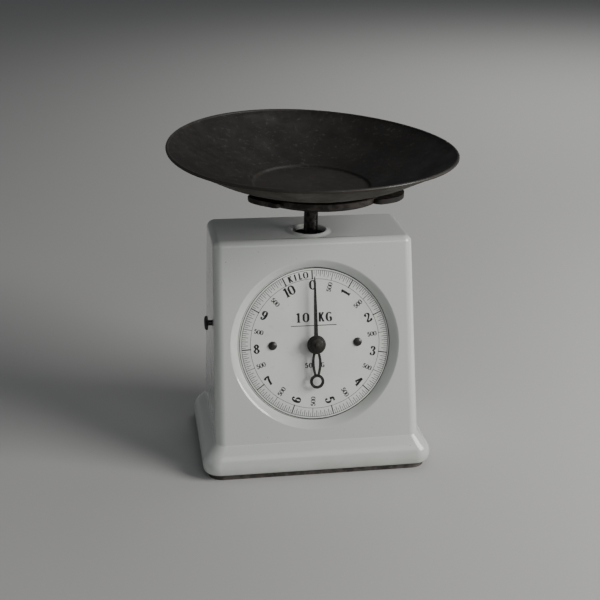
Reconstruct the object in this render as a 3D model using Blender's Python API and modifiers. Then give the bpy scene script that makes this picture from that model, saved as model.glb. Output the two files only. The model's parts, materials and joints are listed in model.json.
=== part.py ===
"""Spring dial scale of the kitchen-counter kind: an enamelled housing with a sloping front and a round dial,
a plunger rod that carries a loose dish, and the rack, pinion, springs and parallel links inside.

Frame: +X to the reader's right, +Y away from the reader, +Z up. The origin lies on the table, under the rod.
Lengths below are in millimetres, and the helpers scale them to metres.
"""

import math

import bmesh
import bpy
from mathutils import Matrix, Vector

MM = 0.001
GAP = 0.35

# Housing
WALL = 1.2
TOP_Z = 217.5
TOP_HALF_WIDTH = 95.0
CREASE_Z = 33.2
CREASE_HALF_WIDTH = 98.3
FLARE_OUT = 12.2
RIM_Z = 6.1
FRONT_TOP_Y = -26.5
FRONT_SLOPE = 0.27657
FRONT_FLARE = 10.9
BACK_TOP_Y = 51.5
BACK_CREASE_Y = 49.6
TOP_ROUND = 7.0
CORNER_POINTS = 7
HOLE_X = -1.0
HOLE_R = 15.5

# Dial, in its own frame: x to the right, v up the slope, s out towards the reader
DIAL_Y = -45.28
DIAL_Z = 119.2
FRONT_S = 8.1
OPENING_R = 73.3
DIAL_R = 72.9
DIAL_SCREW_X = 41.0

# Plunger rod and dish
ROD_X = 1.0
ROD_R = 6.7
ROD_BOTTOM = 48.0
ROD_TOP = 255.0
TRAVEL = 29.2
DISH_CENTRE = (1.1, -0.1, 300.0)
DISH_R = 136.0
WELL_DEPTH = 37.1
SHEET = 1.2
DISH_TILT_BACK = 0.036
DISH_TILT_SIDE = -0.011
DISH_TWIST = 2.4
DISH_TWIST_R = 145.0
DISH_TWIST_ANGLE = 29.5

# Carrier
CARRIER_X = 6.0
CARRIER_Y = -4.0
CARRIER_R = 64.5
CARRIER_Z = 255.6
RING_BOTTOM = 258.2
RING_TOP = 263.9

# Frame
SIDE_X = 80.0
SIDE_SHEET = 3.0
FLOOR_Z = 2.4
BRIDGE_Z = 193.3

# Springs
SPRING_X = 38.0
SPRING_R = 11.0
WIRE_R = 1.1
SPRING_TURNS = 13
HOOK_DROP = 9.1
YOKE_BAR_Z = 166.4
BAR_HEIGHT = 6.0
CROSSHEAD_Z = 97.0

# Rack and pinion
MODULE = 0.8
TEETH = 12
PRESSURE = math.radians(20.0)
BACKLASH = 0.22
RACK_OFFSET = 0.15
PINION_DEPTH = 25.0
FACE_WIDTH = 6.0
RACK_Y = -18.0
RACK_BACK = 12.0
RACK_BOTTOM = 103.0
RACK_TOP = 153.6

# Parallel links
LINK_PIVOT_X = 65.17
LINK_SPAN = 65.0
SLOT_SHIFT = 0.95
LINK_Y = (13.0, 16.0)
PIN_R = 2.5
HALF_TRAVEL = TRAVEL / 2
UPPER_PIN_Z = 146.0
LOWER_PIN_Z = 56.0
FLANGE_Y = (22.0, 25.0)

# Zero adjustment
SCREW_Y = -27.0
SCREW_Z = 138.0
KNOB_R = 6.65
CRANK_X = -66.0
CRANK_Z = 158.0
YOKE_PIVOT_X = 66.0
YOKE_PIVOT_Z = 169.4

COS_LEAN = 1 / math.hypot(1, FRONT_SLOPE)
SIN_LEAN = FRONT_SLOPE * COS_LEAN

for old in list(bpy.data.objects):
    bpy.data.objects.remove(old, do_unlink=True)

PARTS = bpy.data.collections.new("dial_scale")
CUTTERS = bpy.data.collections.new("cutters")
for made in (PARTS, CUTTERS):
    bpy.context.scene.collection.children.link(made)


def material(name, colour, roughness, metallic):
    made = bpy.data.materials.new(name)
    made.use_nodes = True
    shader = made.node_tree.nodes["Principled BSDF"]
    shader.inputs["Base Color"].default_value = (*colour, 1)
    shader.inputs["Roughness"].default_value = roughness
    shader.inputs["Metallic"].default_value = metallic
    made.diffuse_color = (*colour, 1)
    return made


ENAMEL = material("white_enamel", (0.62, 0.64, 0.60), 0.28, 0.0)
DIAL_WHITE = material("dial_enamel", (0.66, 0.68, 0.63), 0.35, 0.0)
BLACK = material("black_paint", (0.012, 0.012, 0.012), 0.4, 0.0)
IRON = material("cast_iron", (0.03, 0.027, 0.024), 0.6, 0.6)
DISH_METAL = material("worn_tin", (0.05, 0.045, 0.038), 0.5, 0.7)
BASE_PAINT = material("base_paint", (0.035, 0.028, 0.024), 0.55, 0.0)
STEEL = material("steel", (0.42, 0.42, 0.42), 0.35, 1.0)
SPRING_STEEL = material("spring_steel", (0.22, 0.22, 0.23), 0.3, 1.0)
BRASS = material("brass", (0.62, 0.45, 0.18), 0.3, 1.0)


def at(x, y, z):
    """A frame with the world's axes and its origin at this point."""
    return Matrix.Translation(Vector((x, y, z)) * MM)


WORLD = at(0, 0, 0)
DIAL = at(0, DIAL_Y, DIAL_Z) @ Matrix((
    (1, 0, 0, 0),
    (0, SIN_LEAN, -COS_LEAN, 0),
    (0, COS_LEAN, SIN_LEAN, 0),
    (0, 0, 0, 1),
))
RECESS = DIAL @ at(HOLE_X, 0, 0)
ROD = at(ROD_X, 0, 0)


def block(low, high):
    """A box between two corners."""
    bm = bmesh.new()
    size = Vector(high) - Vector(low)
    centre = (Vector(high) + Vector(low)) / 2
    place = Matrix.Translation(centre * MM) @ Matrix.Diagonal((*(size * MM), 1))
    bmesh.ops.create_cube(bm, size=1, matrix=place)
    return bm


AXIS_TURN = {
    "X": Matrix.Rotation(math.pi / 2, 4, "Y"),
    "Y": Matrix.Rotation(-math.pi / 2, 4, "X"),
    "Z": Matrix.Identity(4),
}


def bar(axis, centre, radius, start, end, sides=16):
    """A round bar along an axis, through a centre given on the two other axes in X, Y, Z order."""
    middle = list(centre)
    middle.insert("XYZ".index(axis), (start + end) / 2)
    bm = bmesh.new()
    place = Matrix.Translation(Vector(middle) * MM) @ AXIS_TURN[axis]
    bmesh.ops.create_cone(
        bm, cap_ends=True, segments=sides, radius1=radius * MM, radius2=radius * MM,
        depth=(end - start) * MM, matrix=place,
    )
    return bm


def prism(outline, along):
    """A flat outline of 3-D points swept along a vector. The outline turns left as seen against the sweep."""
    bm = bmesh.new()
    face = bm.faces.new([bm.verts.new(Vector(point) * MM) for point in outline])
    swept = bmesh.ops.extrude_face_region(bm, geom=[face], use_keep_orig=True)
    moved = [item for item in swept["geom"] if isinstance(item, bmesh.types.BMVert)]
    bmesh.ops.translate(bm, verts=moved, vec=Vector(along) * MM)
    bmesh.ops.recalc_face_normals(bm, faces=bm.faces)
    return bm


def place_object(name, bm, frame, collection):
    mesh = bpy.data.meshes.new(name)
    bm.to_mesh(mesh)
    bm.free()
    obj = bpy.data.objects.new(name, mesh)
    obj.matrix_world = frame
    collection.objects.link(obj)
    return obj


def boolean(obj, bm, operation):
    """Joins the shape to the object or cuts it away. The shape is in the object's own frame."""
    count = len(obj.modifiers)
    helper = place_object(f"{obj.name}_{operation.lower()}_{count}", bm, obj.matrix_world, CUTTERS)
    helper.hide_render = True
    helper.display_type = "WIRE"
    modifier = obj.modifiers.new(operation.title(), "BOOLEAN")
    modifier.operation = operation
    modifier.solver = "EXACT"
    modifier.object = helper


def solid(name, frame, look, base, joined=(), holes=()):
    """One sub-part: a base shape, the shapes joined to it, then the holes cut from it."""
    obj = place_object(name, base, frame, PARTS)
    obj.data.materials.append(look)
    obj.data.shade_smooth()
    obj.data.set_sharp_from_angle(angle=math.radians(35))
    for shape in joined:
        boolean(obj, shape, "UNION")
    for shape in holes:
        boolean(obj, shape, "DIFFERENCE")
    return obj


def turned(name, frame, look, profile, steps, collection=PARTS):
    """A profile of (radius, height) turned about the frame's Z. It runs down its outer side."""
    bm = bmesh.new()
    points = [bm.verts.new((radius * MM, 0, height * MM)) for radius, height in profile]
    for first, second in zip(points, points[1:]):
        bm.edges.new((first, second))
    if profile[0][0] > 0:
        bm.edges.new((points[-1], points[0]))
    obj = place_object(name, bm, frame, collection)
    obj.data.materials.append(look)
    screw = obj.modifiers.new("Turned", "SCREW")
    screw.steps = steps
    screw.render_steps = steps
    screw.use_merge_vertices = True
    screw.merge_threshold = 0.00001
    screw.use_smooth_shade = True
    return obj


def frozen(obj):
    """The object with its modifiers applied to a mesh of its own."""
    graph = bpy.context.evaluated_depsgraph_get()
    mesh = bpy.data.meshes.new_from_object(obj.evaluated_get(graph))
    obj.modifiers.clear()
    obj.data = mesh
    return obj


# ---------------------------------------------------------------- housing

def front_y(z):
    return FRONT_TOP_Y - (TOP_Z - z) * FRONT_SLOPE


def rounded_section(z, half_width, y_front, y_back, radius):
    """A rectangle with round corners at height z, from the back right corner, turning left."""
    points = []
    corners = (
        (half_width - radius, y_back - radius),
        (radius - half_width, y_back - radius),
        (radius - half_width, y_front + radius),
        (half_width - radius, y_front + radius),
    )
    for quarter, (x, y) in enumerate(corners):
        for step in range(CORNER_POINTS):
            angle = (quarter + step / (CORNER_POINTS - 1)) * math.pi / 2
            points.append(Vector((x + radius * math.cos(angle), y + radius * math.sin(angle), z)))
    return points


def circle_section(z, radius):
    """A circle round the rod's hole, with the points that face those of rounded_section."""
    count = 4 * CORNER_POINTS
    angles = [(index + 0.5) * 2 * math.pi / count for index in range(count)]
    return [Vector((HOLE_X + radius * math.cos(a), radius * math.sin(a), z)) for a in angles]


def housing_sections():
    """The outer skin from its lower rim, up the flare and the walls, over the top and into the hole."""
    sections = []
    for z, share in ((RIM_Z, 0.90), (9.0, 0.975), (14.0, 1.0), (20.0, 0.86), (25.0, 0.56), (29.5, 0.22)):
        sections.append(rounded_section(
            z, CREASE_HALF_WIDTH + FLARE_OUT * share, front_y(CREASE_Z) - FRONT_FLARE * share,
            BACK_CREASE_Y + FLARE_OUT * share, 10 + 6 * share,
        ))
    sections.append(rounded_section(CREASE_Z, CREASE_HALF_WIDTH, front_y(CREASE_Z), BACK_CREASE_Y, 10))
    for step in range(4):
        angle = step * math.pi / 6
        inset = TOP_ROUND * (1 - math.cos(angle))
        z = TOP_Z - TOP_ROUND * (1 - math.sin(angle))
        sections.append(rounded_section(
            z, TOP_HALF_WIDTH - inset, front_y(TOP_Z - TOP_ROUND) + inset, BACK_TOP_Y - inset, 9 - inset,
        ))
    for rise, out in ((0, 7), (0.5, 4.8), (1.5, 3.2), (2.1, 1.8), (1.7, 0.6), (0.5, 0), (-3.0, 0)):
        sections.append(circle_section(TOP_Z + rise, HOLE_R + out))
    return sections


def skin(sections):
    """Quads between each section and the next."""
    bm = bmesh.new()
    rings = [[bm.verts.new(point * MM) for point in section] for section in sections]
    count = len(rings[0])
    for lower, upper in zip(rings, rings[1:]):
        for index in range(count):
            after = (index + 1) % count
            bm.faces.new((lower[index], lower[after], upper[after], upper[index]))
    return bm


COLLAR_PROFILE = (
    (80.6, FRONT_S - 0.05), (80.6, FRONT_S - 1.1), (78.2, FRONT_S - 1.6), (75.7, FRONT_S - 3.6),
    (74.6, FRONT_S - 6.2), (74.6, -1.0), (OPENING_R, -1.0), (OPENING_R, FRONT_S - 6.0),
    (73.9, FRONT_S - 3.4), (75.6, FRONT_S - 1.4), (78.0, FRONT_S - 0.35),
)
OPENING_CUT_R = 80.0
HOUSING_SCREWS = [(x, y) for x in (-100.0, 100.0) for y in (-62.0, 38.0)]


def make_housing():
    collar = frozen(turned("collar", WORLD, ENAMEL, COLLAR_PROFILE, 48, CUTTERS))
    collar.data.transform(RECESS)
    shape = bmesh.new()
    shape.from_mesh(collar.data)
    bpy.data.objects.remove(collar)
    obj = place_object("housing", skin(housing_sections()), WORLD, PARTS)
    obj.data.materials.append(ENAMEL)
    obj.data.shade_smooth()
    obj.data.set_sharp_from_angle(angle=math.radians(35))
    shell = obj.modifiers.new("Wall", "SOLIDIFY")
    shell.thickness = WALL * MM
    shell.offset = -1
    shell.use_even_offset = True
    opening = bar("Z", (0, 0), OPENING_CUT_R, -20, 30, 48)
    opening.transform(RECESS)
    boolean(obj, opening, "DIFFERENCE")
    boolean(obj, shape, "UNION")
    boolean(obj, bar("X", (SCREW_Y, SCREW_Z), 3.6, -110, -85), "DIFFERENCE")
    for x, y in HOUSING_SCREWS:
        outer = math.copysign(CREASE_HALF_WIDTH + FLARE_OUT - 1.5, x)
        inner = math.copysign(94.0, x)
        boolean(obj, block((min(outer, inner), y - 7, 8.0), (max(outer, inner), y + 7, 12.0)), "UNION")
        boolean(obj, bar("Z", (x, y), 2.2, 5, 15), "DIFFERENCE")


def screw_up(name, x, y, head_z, head_height, top):
    """A screw put in from below, its head let into the plate."""
    solid(name, at(x, y, 0), STEEL, bar("Z", (0, 0), 3.6, head_z, head_z + head_height),
          joined=[bar("Z", (0, 0), 1.7, head_z + head_height / 2, top, 12)])


BASE_TOP = 5.6
FOOT_SCREWS = [(x, y) for x in (-71.0, 71.0) for y in (-12.0, 14.0)]


def make_base():
    outline = rounded_section(0, 105.0, -84.0, 57.5, 13)
    obj = solid("base_plate", WORLD, BASE_PAINT, prism(outline, (0, 0, BASE_TOP)))
    boolean(obj, block((-94, -76, FLOOR_Z), (94, 49, 20)), "DIFFERENCE")
    for x, y in HOUSING_SCREWS + FOOT_SCREWS:
        boolean(obj, bar("Z", (x, y), 2.1, -1, 20, 12), "DIFFERENCE")
        boolean(obj, bar("Z", (x, y), 4.0, -1, 1.6), "DIFFERENCE")
    for index, (x, y) in enumerate(HOUSING_SCREWS):
        screw_up(f"housing_screw_{index + 1}", x, y, 0.3, 0.95, 11.5)
    for index, (x, y) in enumerate(FOOT_SCREWS):
        screw_up(f"foot_screw_{index + 1}", x, y, 0.3, 0.95, 5.2)


# ---------------------------------------------------------------- frame

SIDE_Y = (-24.0, 25.0)
FOOT_Z = FLOOR_Z + GAP
SIDE_TOP = BRIDGE_Z - GAP
BRACKET_SCREW_DEPTH = 28.0
BRACKET_SCREW = (DIAL_Y + BRACKET_SCREW_DEPTH * COS_LEAN, DIAL_Z - BRACKET_SCREW_DEPTH * SIN_LEAN)


def make_upright(name, side):
    """A bent side sheet: a foot, a flange behind for the pivots, and a seat for the bridge on top."""
    def span(inner, outer, y, z):
        low_x, high_x = sorted((side * inner, side * outer))
        return block((low_x, y[0], z[0]), (high_x, y[1], z[1]))

    outer = SIDE_X + SIDE_SHEET
    foot = span(62, outer, (-18, 20), (FOOT_Z, FOOT_Z + 3))
    flange = span(57, outer, FLANGE_Y, (34, 182))
    seat = span(66, outer, (-10, 10), (SIDE_TOP - 3, SIDE_TOP))
    joined = [foot, flange, seat]
    holes = [bar("Z", (side * 71, y), 2.1, -5, 20, 12) for y in (-12, 14)]
    holes.append(bar("Z", (side * 73, 0), 2.1, 180, 200, 12))
    holes.append(bar("X", BRACKET_SCREW, 2.0, side * 81.5 - 5, side * 81.5 + 5, 12))
    pivots = [(CRANK_X, CRANK_Z)]
    if side > 0:
        pivots = [
            (LINK_PIVOT_X, UPPER_PIN_Z - HALF_TRAVEL), (LINK_PIVOT_X, LOWER_PIN_Z - HALF_TRAVEL),
            (YOKE_PIVOT_X, YOKE_PIVOT_Z),
        ]
    else:
        joined.append(span(SIDE_X, outer, (-34, -20), (SCREW_Z - 9, SCREW_Z + 9)))
        holes.append(bar("X", (SCREW_Y, SCREW_Z), 2.95, -90, -70))
    holes += [bar("Y", pivot, PIN_R + GAP, 15, 30) for pivot in pivots]
    solid(name, WORLD, STEEL, span(SIDE_X, outer, SIDE_Y, (FOOT_Z, SIDE_TOP)), joined, holes)


def make_bridge():
    base = block((-83, -10, BRIDGE_Z), (83, 10, BRIDGE_Z + 3.5))
    ring = bar("Z", (ROD_X, 0), 15, BRIDGE_Z, BRIDGE_Z + 3.5, 32)
    holes = [bar("Z", (ROD_X, 0), 7.7, BRIDGE_Z - 5, BRIDGE_Z + 10)]
    holes += [bar("Z", (x, 0), 2.1, BRIDGE_Z - 5, BRIDGE_Z + 10, 16) for x in (-73, 73)]
    solid("frame_bridge", WORLD, STEEL, base, [ring], holes)
    for side, x in (("left", -73), ("right", 73)):
        head_z = BRIDGE_Z + 3.5 + GAP
        solid(f"bridge_screw_{side}", at(x, 0, 0), STEEL, bar("Z", (0, 0), 3.8, head_z, head_z + 2.2),
              joined=[bar("Z", (0, 0), 1.7, SIDE_TOP - 5, head_z + 1, 12)])


# ---------------------------------------------------------------- movement behind the dial

PLATE_BACK = -12.0
PLATE_THICK = 2.0
STRIP_HALF = 9.0
EAR_OUT = SIDE_X - GAP
EAR_END = -34.0
COCK_X = 20.0
COCK_S = -32.0


def make_movement():
    """The cross strip with its ears, and the cock behind it that holds the rear of the arbor."""
    back = PLATE_BACK - PLATE_THICK
    strip = block((-EAR_OUT, -STRIP_HALF, back), (EAR_OUT, STRIP_HALF, PLATE_BACK))
    ears = []
    holes = [bar("Z", (0, 0), 2.35, -40, 0)]
    for side in (-1, 1):
        low_x, high_x = sorted((side * (EAR_OUT - 2.2), side * EAR_OUT))
        ears.append(block((low_x, -STRIP_HALF, EAR_END), (high_x, STRIP_HALF, PLATE_BACK)))
        holes.append(bar("Z", (side * DIAL_SCREW_X, 0), 2.0, -40, 0, 12))
        middle = side * EAR_OUT
        holes.append(bar("X", (0, -BRACKET_SCREW_DEPTH), 2.0, middle - 5, middle + 5, 12))
    solid("movement_bracket", DIAL, BRASS, strip, ears, holes)
    legs = [
        block((min(side * COCK_X, side * (COCK_X - 2)), -7, COCK_S - 2),
              (max(side * COCK_X, side * (COCK_X - 2)), 7, back - GAP))
        for side in (-1, 1)
    ]
    feet = [
        block((min(side * (COCK_X - 2), side * (COCK_X + 8)), -7, back - GAP - 2),
              (max(side * (COCK_X - 2), side * (COCK_X + 8)), 7, back - GAP))
        for side in (-1, 1)
    ]
    solid("rear_cock", DIAL, BRASS, block((-COCK_X, -7, COCK_S - 2), (COCK_X, 7, COCK_S)),
          legs + feet, [bar("Z", (0, 0), 2.35, -50, -25)])
    y, z = BRACKET_SCREW
    for side, sign in (("left", -1), ("right", 1)):
        head = sorted((sign * (SIDE_X + SIDE_SHEET + GAP), sign * (SIDE_X + SIDE_SHEET + GAP + 2.2)))
        shank = sorted((sign * (SIDE_X - 5), sign * (SIDE_X + SIDE_SHEET + 1.5)))
        solid(f"bracket_screw_{side}", at(0, y, z), STEEL, bar("X", (0, 0), 3.5, *head),
              joined=[bar("X", (0, 0), 1.6, *shank, 12)])


def make_dial():
    holes = [bar("Z", (0, 0), 3.0, -5, 5)]
    holes += [bar("Z", (side * DIAL_SCREW_X, 0), 2.0, -5, 5, 16) for side in (-1, 1)]
    solid("dial_plate", DIAL, DIAL_WHITE, bar("Z", (HOLE_X, 0), DIAL_R, -1.0, 0, 48), holes=holes)
    for side, sign in (("left", -1), ("right", 1)):
        frame = DIAL @ at(sign * DIAL_SCREW_X, 0, 0)
        head = [(0, 2.4), (2.2, 2.1), (3.8, 1.2), (4.2, 0.35), (1.6, 0.35), (1.6, -15.5), (0, -15.5)]
        turned(f"dial_screw_{side}", frame, BLACK, head, 20)
        tube = [(3.8, -1.0 - GAP), (3.8, PLATE_BACK + GAP), (2.0, PLATE_BACK + GAP), (2.0, -1.0 - GAP)]
        turned(f"dial_spacer_{side}", frame, STEEL, tube, 20)


# ---------------------------------------------------------------- arbor, pinion and hand

def pinion_outline():
    """Teeth with involute flanks; the first points along +X."""
    pitch_r = MODULE * TEETH / 2
    base_r = pitch_r * math.cos(PRESSURE)
    root_r = pitch_r - 1.05 * MODULE
    tip_r = pitch_r + 0.8 * MODULE
    half_pitch_angle = (math.pi * MODULE / 2 - BACKLASH) / (2 * pitch_r)
    involute = math.tan(PRESSURE) - PRESSURE
    flank = []
    for radius in (base_r, pitch_r, (pitch_r + tip_r) / 2, tip_r):
        turn = math.acos(base_r / radius)
        flank.append((radius, half_pitch_angle + involute - math.tan(turn) + turn))
    flank.insert(0, (root_r, flank[0][1]))
    points = []
    for tooth in range(TEETH):
        middle = 2 * math.pi * tooth / TEETH
        for radius, angle in flank:
            points.append((radius, middle - angle))
        for radius, angle in reversed(flank):
            points.append((radius, middle + angle))
    return [(r * math.cos(a), r * math.sin(a), 0) for r, a in points]


ARBOR_PROFILE = (
    (0, 8.2), (2.0, 8.2), (2.0, 4.9), (3.2, 4.9), (3.2, 3.5), (2.0, 3.5), (2.0, -35.5), (0, -35.5),
)
CAP_PROFILE = (
    (0, 10.3), (3.2, 10.0), (6.0, 9.0), (8.0, 7.7), (9.0, 6.6), (2.35, 6.6), (2.35, 8.6), (0, 8.6),
)
NEEDLE_TIP = 64.8
HAND_Z = (5.25, 6.25)


def tail_outline(side):
    """One bowed rail of the tail, from the hub down to the ring."""
    stations = 7
    outer = []
    inner = []
    for step in range(stations):
        share = step / (stations - 1)
        v = -6.0 - share * 24.0
        bow = 1.2 + 2.2 * math.sin(math.pi * share)
        outer.append((side * (bow + 0.7), v))
        inner.append((side * (bow - 0.7), v))
    return [(x, v, HAND_Z[0]) for x, v in outer + inner[::-1]]


def make_hand():
    pinion_base = -PINION_DEPTH - FACE_WIDTH / 2
    pinion = prism(pinion_outline(), (0, 0, FACE_WIDTH))
    bmesh.ops.translate(pinion, verts=pinion.verts, vec=(0, 0, pinion_base * MM))
    solid("pinion", DIAL, BRASS, pinion, holes=[bar("Z", (0, 0), 2.35, pinion_base - 5, pinion_base + 15)])
    turned("arbor", DIAL, STEEL, ARBOR_PROFILE, 24)
    turned("hand_cap", DIAL, BLACK, CAP_PROFILE, 32)
    low, high = HAND_Z
    needle = [(1.9, 0, low), (0.25, NEEDLE_TIP, low), (-0.25, NEEDLE_TIP, low), (-1.9, 0, low)]
    thick = (0, 0, high - low)
    joined = [prism(needle, thick)] + [prism(tail_outline(side), thick) for side in (-1, 1)]
    joined.append(bar("Z", (0, -35.4), 6.7, low, high, 28))
    holes = [bar("Z", (0, -35.4), 4.8, 0, 10, 28), bar("Z", (0, 0), 2.35, 0, 10)]
    solid("hand", DIAL, BLACK, bar("Z", (0, 0), 7.6, low, high, 32), joined, holes)


# ---------------------------------------------------------------- rod and what hangs on it

PITCH = math.pi * MODULE / COS_LEAN
ARM_Z = (154.0, 160.0)
RACK_SCREW_X = 9.3
RACK_SCREW_Y = -21.0


def rack_outline():
    """The rack's side view in X and Z at its rear face, with its teeth towards -X."""
    pitch_x = MODULE * TEETH / 2 + RACK_OFFSET - ROD_X
    tip_x = pitch_x - 0.65 * MODULE
    root_x = pitch_x + 1.15 * MODULE
    half = (math.pi * MODULE / 2 - BACKLASH) / 2
    slope = math.tan(PRESSURE)
    tip_half = (half - 0.65 * MODULE * slope) / COS_LEAN
    root_half = (half + 1.15 * MODULE * slope) / COS_LEAN
    mesh_z = DIAL_Z - PINION_DEPTH * SIN_LEAN - (RACK_Y - DIAL_Y - PINION_DEPTH * COS_LEAN) * FRONT_SLOPE
    first = math.ceil((RACK_BOTTOM + 1 - mesh_z) / PITCH - 0.5)
    last = math.floor((RACK_TOP - 5 - mesh_z) / PITCH - 0.5)
    points = [(RACK_BACK, RACK_BOTTOM), (root_x, RACK_BOTTOM)]
    for index in range(first, last + 1):
        middle = mesh_z + (index + 0.5) * PITCH
        points += [
            (root_x, middle - root_half), (tip_x, middle - tip_half),
            (tip_x, middle + tip_half), (root_x, middle + root_half),
        ]
    points += [(root_x, RACK_TOP - 2), (RACK_BACK, RACK_TOP - 2)]
    return [(x, RACK_Y, z) for x, z in points]


def make_rack():
    teeth = prism(rack_outline(), (0, -FACE_WIDTH, FACE_WIDTH * FRONT_SLOPE))
    head = block((3.5, RACK_Y - FACE_WIDTH, RACK_TOP - 4), (RACK_BACK, RACK_Y, RACK_TOP))
    hole = bar("Z", (RACK_SCREW_X - ROD_X, RACK_SCREW_Y), 1.6, RACK_TOP - 12, RACK_TOP + 5, 16)
    solid("rack", ROD, BRASS, teeth, [head], [hole])
    arm = block((3.0, -26.0, ARM_Z[0]), (RACK_BACK + 1, 0, ARM_Z[1]))
    holes = [
        bar("Z", (0, 0), ROD_R + GAP, 140, 170),
        bar("Z", (RACK_SCREW_X - ROD_X, RACK_SCREW_Y), 1.75, 140, 170, 16),
    ]
    solid("rack_arm", ROD, STEEL, bar("Z", (0, 0), 11, *ARM_Z, 28), [arm], holes)
    screw_frame = ROD @ at(RACK_SCREW_X - ROD_X, RACK_SCREW_Y, 0)
    solid("rack_screw", screw_frame, STEEL, bar("Z", (0, 0), 2.8, ARM_Z[1] + GAP, ARM_Z[1] + 2.3, 20),
          joined=[bar("Z", (0, 0), 1.25, RACK_TOP - 10, ARM_Z[1] + 1, 12)])


def make_rod():
    rod_profile = [
        (0, ROD_TOP), (4.5, ROD_TOP), (4.5, 249.1), (ROD_R, 249.1), (ROD_R, ROD_BOTTOM + 1),
        (ROD_R - 1, ROD_BOTTOM), (0, ROD_BOTTOM),
    ]
    rod = frozen(turned("plunger_rod", ROD, STEEL, rod_profile, 28))
    for z in (UPPER_PIN_Z, LOWER_PIN_Z):
        boolean(rod, bar("Y", (0, z), PIN_R + GAP, -10, 10, 20), "DIFFERENCE")
    boolean(rod, bar("Z", (0, 0), 2.2, ROD_TOP - 10, ROD_TOP + 5, 16), "DIFFERENCE")
    collar_z = BRIDGE_Z - GAP
    collar = [(9.0, collar_z), (9.0, collar_z - 5), (ROD_R + GAP, collar_z - 5), (ROD_R + GAP, collar_z)]
    turned("stop_collar", ROD, STEEL, collar, 28)
    top = CROSSHEAD_Z + BAR_HEIGHT
    solid("crosshead", ROD, STEEL, block((-50, -3, CROSSHEAD_Z), (48, 3, top)),
          [bar("Z", (0, 0), 10.5, CROSSHEAD_Z, top, 28)], [bar("Z", (0, 0), ROD_R + GAP, 80, 120)])
    for name, z in (("upper_rod_pin", UPPER_PIN_Z), ("lower_rod_pin", LOWER_PIN_Z)):
        head = LINK_Y[1] + GAP
        solid(name, at(ROD_X, 0, z), STEEL, bar("Y", (0, 0), PIN_R, -8, head + 1),
              joined=[bar("Y", (0, 0), 4.2, head, head + 1.6)])


def make_links():
    """Two parallel straps that keep the rod upright, each slotted where it takes the rod's pin."""
    tilt = Matrix.Rotation(math.atan2(HALF_TRAVEL, LINK_PIVOT_X - ROD_X), 4, "Y")
    bore = PIN_R + GAP
    for name, pin_z in (("upper_link", UPPER_PIN_Z), ("lower_link", LOWER_PIN_Z)):
        strap = block((-LINK_SPAN, LINK_Y[0], -4.5), (0, LINK_Y[1], 4.5))
        ends = [bar("Y", (-LINK_SPAN, 0), 6.5, *LINK_Y), bar("Y", (0, 0), 6.0, *LINK_Y)]
        slot = block((-LINK_SPAN - SLOT_SHIFT, 0, -bore), (-LINK_SPAN + SLOT_SHIFT, 30, bore))
        obj = solid(name, at(LINK_PIVOT_X, 0, pin_z - HALF_TRAVEL), STEEL, strap, ends,
                    [bar("Y", (0, 0), bore, 0, 30), slot])
        for shift in (-SLOT_SHIFT, SLOT_SHIFT):
            boolean(obj, bar("Y", (shift - LINK_SPAN, 0), bore, 0, 30), "DIFFERENCE")
        for shape in [obj] + [m.object for m in obj.modifiers]:
            shape.data.transform(tilt)


def pivot_pin(name, x, z, front):
    """A shouldered pin riveted in the flange, its head towards the reader."""
    solid(name, at(x, 0, z), STEEL, bar("Y", (0, 0), PIN_R, front - 0.5, FLANGE_Y[1] + 0.6),
          joined=[bar("Y", (0, 0), 4.2, front - 1.6, front)])


# ---------------------------------------------------------------- springs, yoke and zero adjustment

def make_spring(name, x):
    """A close coil with a round hook at each end, bent over the yoke and under the crosshead."""
    top_hook = YOKE_BAR_Z + BAR_HEIGHT - HOOK_DROP
    low_hook = CROSSHEAD_Z + HOOK_DROP
    coil_top = top_hook - SPRING_R
    coil_low = low_hook + SPRING_R
    points = []
    hook_steps = 8
    for step in range(hook_steps):
        angle = math.radians(150 - 240 * step / hook_steps)
        points.append((0, -SPRING_R * math.cos(angle), top_hook + SPRING_R * math.sin(angle)))
    per_turn = 8
    turns = SPRING_TURNS * per_turn
    for step in range(turns + 1):
        angle = 2 * math.pi * step / per_turn - math.pi / 2
        drop = (coil_top - coil_low) * step / turns
        points.append((SPRING_R * math.cos(angle), SPRING_R * math.sin(angle), coil_top - drop))
    for step in range(hook_steps):
        angle = math.radians(90 - 240 * (step + 1) / hook_steps)
        points.append((0, SPRING_R * math.cos(angle) * -1, low_hook + SPRING_R * math.sin(angle)))
    curve = bpy.data.curves.new(name, "CURVE")
    curve.dimensions = "3D"
    curve.bevel_depth = WIRE_R * MM
    curve.bevel_resolution = 2
    curve.use_fill_caps = True
    spline = curve.splines.new("POLY")
    spline.points.add(len(points) - 1)
    for target, point in zip(spline.points, points):
        target.co = (*(Vector(point) * MM), 1)
    obj = bpy.data.objects.new(name, curve)
    obj.matrix_world = at(x, 0, 0)
    curve.materials.append(SPRING_STEEL)
    PARTS.objects.link(obj)


def make_yoke():
    low = YOKE_BAR_Z - YOKE_PIVOT_Z
    high = low + BAR_HEIGHT
    frame = at(YOKE_PIVOT_X, 0, YOKE_PIVOT_Z)
    base = block((-62 - YOKE_PIVOT_X, -3, low), (0, 3, high))
    joined = [
        bar("Z", (ROD_X - YOKE_PIVOT_X, 0), 14.5, low, high, 32),
        bar("Y", (0, 0), 6.2, -4, 4),
    ]
    holes = [bar("Z", (ROD_X - YOKE_PIVOT_X, 0), 10.0, -20, 20, 32), bar("Y", (0, 0), PIN_R + GAP, -10, 10)]
    solid("spring_yoke", frame, IRON, base, joined, holes)


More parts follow.
